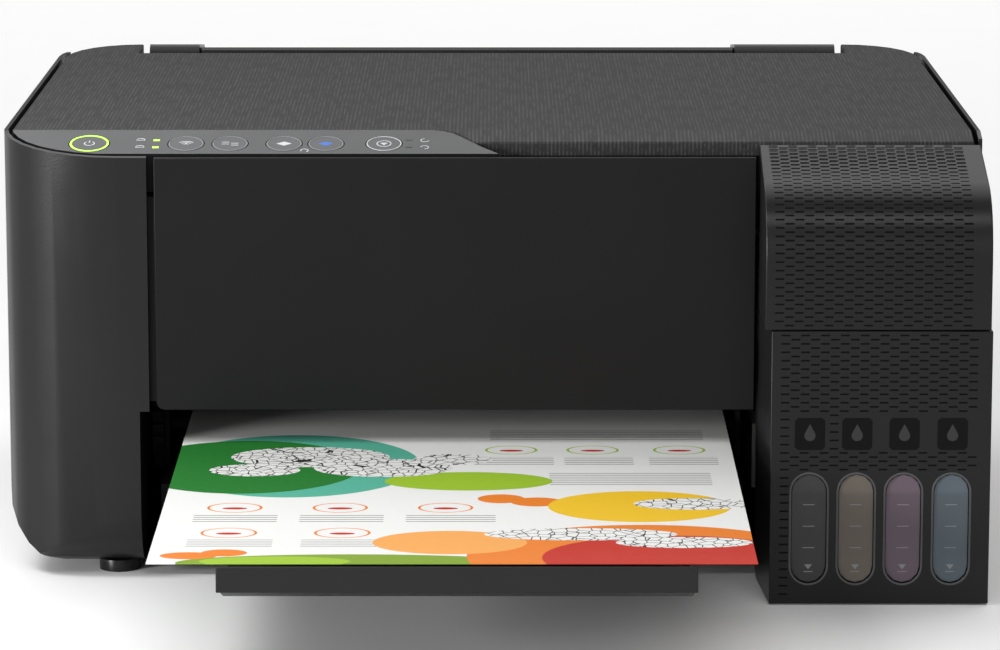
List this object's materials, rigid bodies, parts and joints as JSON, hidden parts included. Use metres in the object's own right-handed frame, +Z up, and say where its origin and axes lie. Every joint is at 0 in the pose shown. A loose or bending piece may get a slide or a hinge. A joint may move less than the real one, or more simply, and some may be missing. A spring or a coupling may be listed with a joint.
{
  "type": "inkjet printer",
  "caption": "Compact ink-tank inkjet printer with flatbed scanner, sloping control panel, right-hand tank unit, rear sheet feeder and drawn-out output tray holding a printed sheet.",
  "frame": {"origin": "under the middle of the bounding box, on the surface the printer stands on", "axes": "+X the user's right, +Y to the back, +Z up"},
  "size_m": [0.375, 0.4956, 0.174],
  "materials": {
    "casing_black": "moulded black plastic, fine satin texture",
    "lid_grey": "dark grey plastic with fine pinstripes",
    "panel_grey": "satin grey film over the control panel",
    "front_black": "smooth semi-gloss black plastic",
    "textured_black": "black plastic moulded with staggered short dashes",
    "tray_black": "satin black plastic",
    "inner_black": "plain black plastic of the inner parts",
    "button_grey": "satin grey button with a raised ring",
    "power_button": "grey button with a lit lime green ring",
    "copy_blue": "grey button with a blue mark",
    "ink_black": "translucent tank holding black ink",
    "ink_yellow": "translucent tank holding yellow ink",
    "ink_magenta": "translucent tank holding magenta ink",
    "ink_cyan": "translucent tank holding cyan ink",
    "glass": "clear float glass",
    "steel": "zinc-plated steel",
    "rubber": "soft black rubber",
    "white_plastic": "natural white acetal",
    "circuit_green": "green solder mask",
    "belt_black": "toothed rubber belt",
    "foam_white": "white film over soft foam",
    "paper": null
  },
  "bodies": {
    "root": {"base_frame": "inner_black", "left_shell": "casing_black", "right_shell": "casing_black", "front_panel": "front_black", "rear_cover": "casing_black", "tank_case": "textured_black", "ink_tube_ribbon": "ink_cyan", "guide_rail": "steel", "carriage_belt": "belt_black", "carriage_motor": "steel", "platen": "inner_black", "star_wheel_holder": "inner_black", "feed_motor": "steel", "capping_station": "white_plastic", "power_supply": "inner_black", "main_board": "circuit_green", "paper_bed": "inner_black", "printed_sheet": "paper", "ink_tank_black": "ink_black", "ink_tank_yellow": "ink_yellow", "ink_tank_magenta": "ink_magenta", "ink_tank_cyan": "ink_cyan"},
    "carriage": {"carriage": "inner_black", "print_head": "tray_black"},
    "scanner_unit": {"scanner_base": "inner_black", "scanner_frame": "inner_black", "scanner_glass": "glass", "control_panel": "panel_grey"},
    "cover_hinges": {"cover_hinge_left": "inner_black", "cover_hinge_right": "inner_black"},
    "document_cover": {"document_cover": "lid_grey", "document_pad": "foam_white"},
    "tank_cover": {"ink_tank_cover": "textured_black"},
    "tank_cap_black": {"tank_cap_black": "ink_black"},
    "tank_cap_yellow": {"tank_cap_yellow": "ink_yellow"},
    "tank_cap_magenta": {"tank_cap_magenta": "ink_magenta"},
    "tank_cap_cyan": {"tank_cap_cyan": "ink_cyan"},
    "motor_pulley": {"motor_pulley": "steel"},
    "idler_pulley": {"idler_pulley": "white_plastic"},
    "feed_roller": {"feed_roller": "steel"},
    "pinch_roller": {"pinch_roller": "rubber"},
    "idler_gear": {"idler_gear": "white_plastic"},
    "eject_roller": {"eject_roller": "rubber"},
    "star_wheels": {"star_wheels": "steel"},
    "motor_pinion": {"motor_pinion": "white_plastic"},
    "pickup_roller": {"pickup_roller": "rubber"},
    "edge_guide_left": {"edge_guide_left": "inner_black"},
    "edge_guide_right": {"edge_guide_right": "inner_black"},
    "paper_support": {"paper_support": "casing_black"},
    "feeder_guard": {"feeder_guard": "casing_black"},
    "scan_carriage": {"scan_carriage": "inner_black"},
    "output_tray": {"output_tray": "tray_black"},
    "tray_extension": {"tray_extension": "tray_black"},
    "tray_stopper": {"tray_stopper": "tray_black"},
    "power_button": {"power_button": "power_button"},
    "wifi_button": {"wifi_button": "button_grey"},
    "network_button": {"network_button": "button_grey"},
    "copy_mono_button": {"copy_mono_button": "button_grey"},
    "copy_colour_button": {"copy_colour_button": "copy_blue"},
    "stop_button": {"stop_button": "button_grey"}
  },
  "joints": [
    {"name": "scanner_lift", "type": "hinge", "parent": "root", "child": "scanner_unit", "pos_m": [0, 0.221, 0.156], "axis": [-1, 0, 0], "range_deg": [0, 30]},
    {"name": "cover_lift", "type": "slide", "parent": "scanner_unit", "child": "cover_hinges", "axis": [0, 0, 1], "range_m": [0, 0.012]},
    {"name": "cover_hinge", "type": "hinge", "parent": "cover_hinges", "child": "document_cover", "pos_m": [0, 0.226, 0.166], "axis": [-1, 0, 0], "range_deg": [0, 80]},
    {"name": "scan_slide", "type": "slide", "parent": "scanner_unit", "child": "scan_carriage", "axis": [1, 0, 0], "range_m": [0, 0.31]},
    {"name": "power_press", "type": "slide", "parent": "scanner_unit", "child": "power_button", "axis": [0, 0.2672, -0.9636], "range_m": [0, 0.0008], "stiffness_N_per_m": 600, "springref_m": -0.0003},
    {"name": "wifi_press", "type": "slide", "parent": "scanner_unit", "child": "wifi_button", "axis": [0, 0.2672, -0.9636], "range_m": [0, 0.0008], "stiffness_N_per_m": 600, "springref_m": -0.0003},
    {"name": "network_press", "type": "slide", "parent": "scanner_unit", "child": "network_button", "axis": [0, 0.2672, -0.9636], "range_m": [0, 0.0008], "stiffness_N_per_m": 600, "springref_m": -0.0003},
    {"name": "copy_mono_press", "type": "slide", "parent": "scanner_unit", "child": "copy_mono_button", "axis": [0, 0.2672, -0.9636], "range_m": [0, 0.0008], "stiffness_N_per_m": 600, "springref_m": -0.0003},
    {"name": "copy_colour_press", "type": "slide", "parent": "scanner_unit", "child": "copy_colour_button", "axis": [0, 0.2672, -0.9636], "range_m": [0, 0.0008], "stiffness_N_per_m": 600, "springref_m": -0.0003},
    {"name": "stop_press", "type": "slide", "parent": "scanner_unit", "child": "stop_button", "axis": [0, 0.2672, -0.9636], "range_m": [0, 0.0008], "stiffness_N_per_m": 600, "springref_m": -0.0003},
    {"name": "tank_cover_hinge", "type": "hinge", "parent": "root", "child": "tank_cover", "pos_m": [0.144, -0.0494, 0.1664], "axis": [-1, 0, 0], "range_deg": [0, 100]},
    {"name": "cap_hinge_black", "type": "hinge", "parent": "root", "child": "tank_cap_black", "pos_m": [0.1191, -0.0655, 0.1086], "axis": [-1, 0, 0], "range_deg": [0, 100]},
    {"name": "cap_hinge_yellow", "type": "hinge", "parent": "root", "child": "tank_cap_yellow", "pos_m": [0.1368, -0.0655, 0.1086], "axis": [-1, 0, 0], "range_deg": [0, 100]},
    {"name": "cap_hinge_magenta", "type": "hinge", "parent": "root", "child": "tank_cap_magenta", "pos_m": [0.1545, -0.0655, 0.1086], "axis": [-1, 0, 0], "range_deg": [0, 100]},
    {"name": "cap_hinge_cyan", "type": "hinge", "parent": "root", "child": "tank_cap_cyan", "pos_m": [0.1725, -0.0655, 0.1086], "axis": [-1, 0, 0], "range_deg": [0, 100]},
    {"name": "tray_slide", "type": "slide", "parent": "root", "child": "output_tray", "axis": [0, 1, 0], "range_m": [0, 0.094]},
    {"name": "extension_slide", "type": "slide", "parent": "output_tray", "child": "tray_extension", "axis": [0, 1, 0], "range_m": [0, 0.094]},
    {"name": "stopper_hinge", "type": "hinge", "parent": "tray_extension", "child": "tray_stopper", "pos_m": [-0.01185, -0.24695, 0.0501], "axis": [-1, 0, 0], "range_deg": [0, 90]},
    {"name": "guard_hinge", "type": "hinge", "parent": "root", "child": "feeder_guard", "pos_m": [-0.011, 0.209, 0.169], "axis": [1, 0, 0], "range_deg": [0, 42]},
    {"name": "support_slide", "type": "slide", "parent": "root", "child": "paper_support", "axis": [0, 0.0872, 0.9962], "range_m": [0, 0.09]},
    {"name": "guide_left_slide", "type": "slide", "parent": "root", "child": "edge_guide_left", "axis": [1, 0, 0], "range_m": [0, 0.05]},
    {"name": "guide_right_slide", "type": "slide", "parent": "root", "child": "edge_guide_right", "axis": [-1, 0, 0], "range_m": [0, 0.05]},
    {"name": "carriage_slide", "type": "slide", "parent": "root", "child": "carriage", "axis": [-1, 0, 0], "range_m": [0, 0.25]},
    {"name": "motor_pulley_spin", "type": "hinge", "parent": "root", "child": "motor_pulley", "pos_m": [0.158, 0.088, 0.1], "axis": [0, 1, 0], "continuous": true},
    {"name": "idler_pulley_spin", "type": "hinge", "parent": "root", "child": "idler_pulley", "pos_m": [-0.16, 0.088, 0.1], "axis": [0, 1, 0], "continuous": true},
    {"name": "feed_spin", "type": "hinge", "parent": "root", "child": "feed_roller", "pos_m": [0, 0.08, 0.048], "axis": [1, 0, 0], "continuous": true},
    {"name": "pinch_spin", "type": "hinge", "parent": "root", "child": "pinch_roller", "pos_m": [0, 0.08, 0.06], "axis": [1, 0, 0], "continuous": true},
    {"name": "idler_gear_spin", "type": "hinge", "parent": "root", "child": "idler_gear", "pos_m": [-0.1316, 0.04175, 0.048], "axis": [1, 0, 0], "continuous": true},
    {"name": "eject_spin", "type": "hinge", "parent": "root", "child": "eject_roller", "pos_m": [0, 0.005, 0.0482], "axis": [1, 0, 0], "continuous": true},
    {"name": "star_spin", "type": "hinge", "parent": "root", "child": "star_wheels", "pos_m": [0, 0.005, 0.0599], "axis": [1, 0, 0], "continuous": true},
    {"name": "pinion_spin", "type": "hinge", "parent": "root", "child": "motor_pinion", "pos_m": [-0.1316, 0.10396, 0.03928], "axis": [1, 0, 0], "continuous": true},
    {"name": "pickup_spin", "type": "hinge", "parent": "root", "child": "pickup_roller", "pos_m": [-0.0136, 0.1628, 0.0955], "axis": [1, 0, 0], "continuous": true}
  ],
  "couplings": [
    {"joint": "guide_right_slide", "follows": "guide_left_slide", "ratio": 1},
    {"joint": "motor_pulley_spin", "follows": "carriage_slide", "rad_per_m": 151.5},
    {"joint": "idler_pulley_spin", "follows": "carriage_slide", "rad_per_m": 151.5},
    {"joint": "pinch_spin", "follows": "feed_spin", "ratio": -1.1538},
    {"joint": "idler_gear_spin", "follows": "feed_spin", "ratio": -0.88889},
    {"joint": "eject_spin", "follows": "feed_spin", "ratio": 1.0909},
    {"joint": "star_spin", "follows": "feed_spin", "ratio": -1.1782},
    {"joint": "pinion_spin", "follows": "feed_spin", "ratio": -2.4}
  ]
}
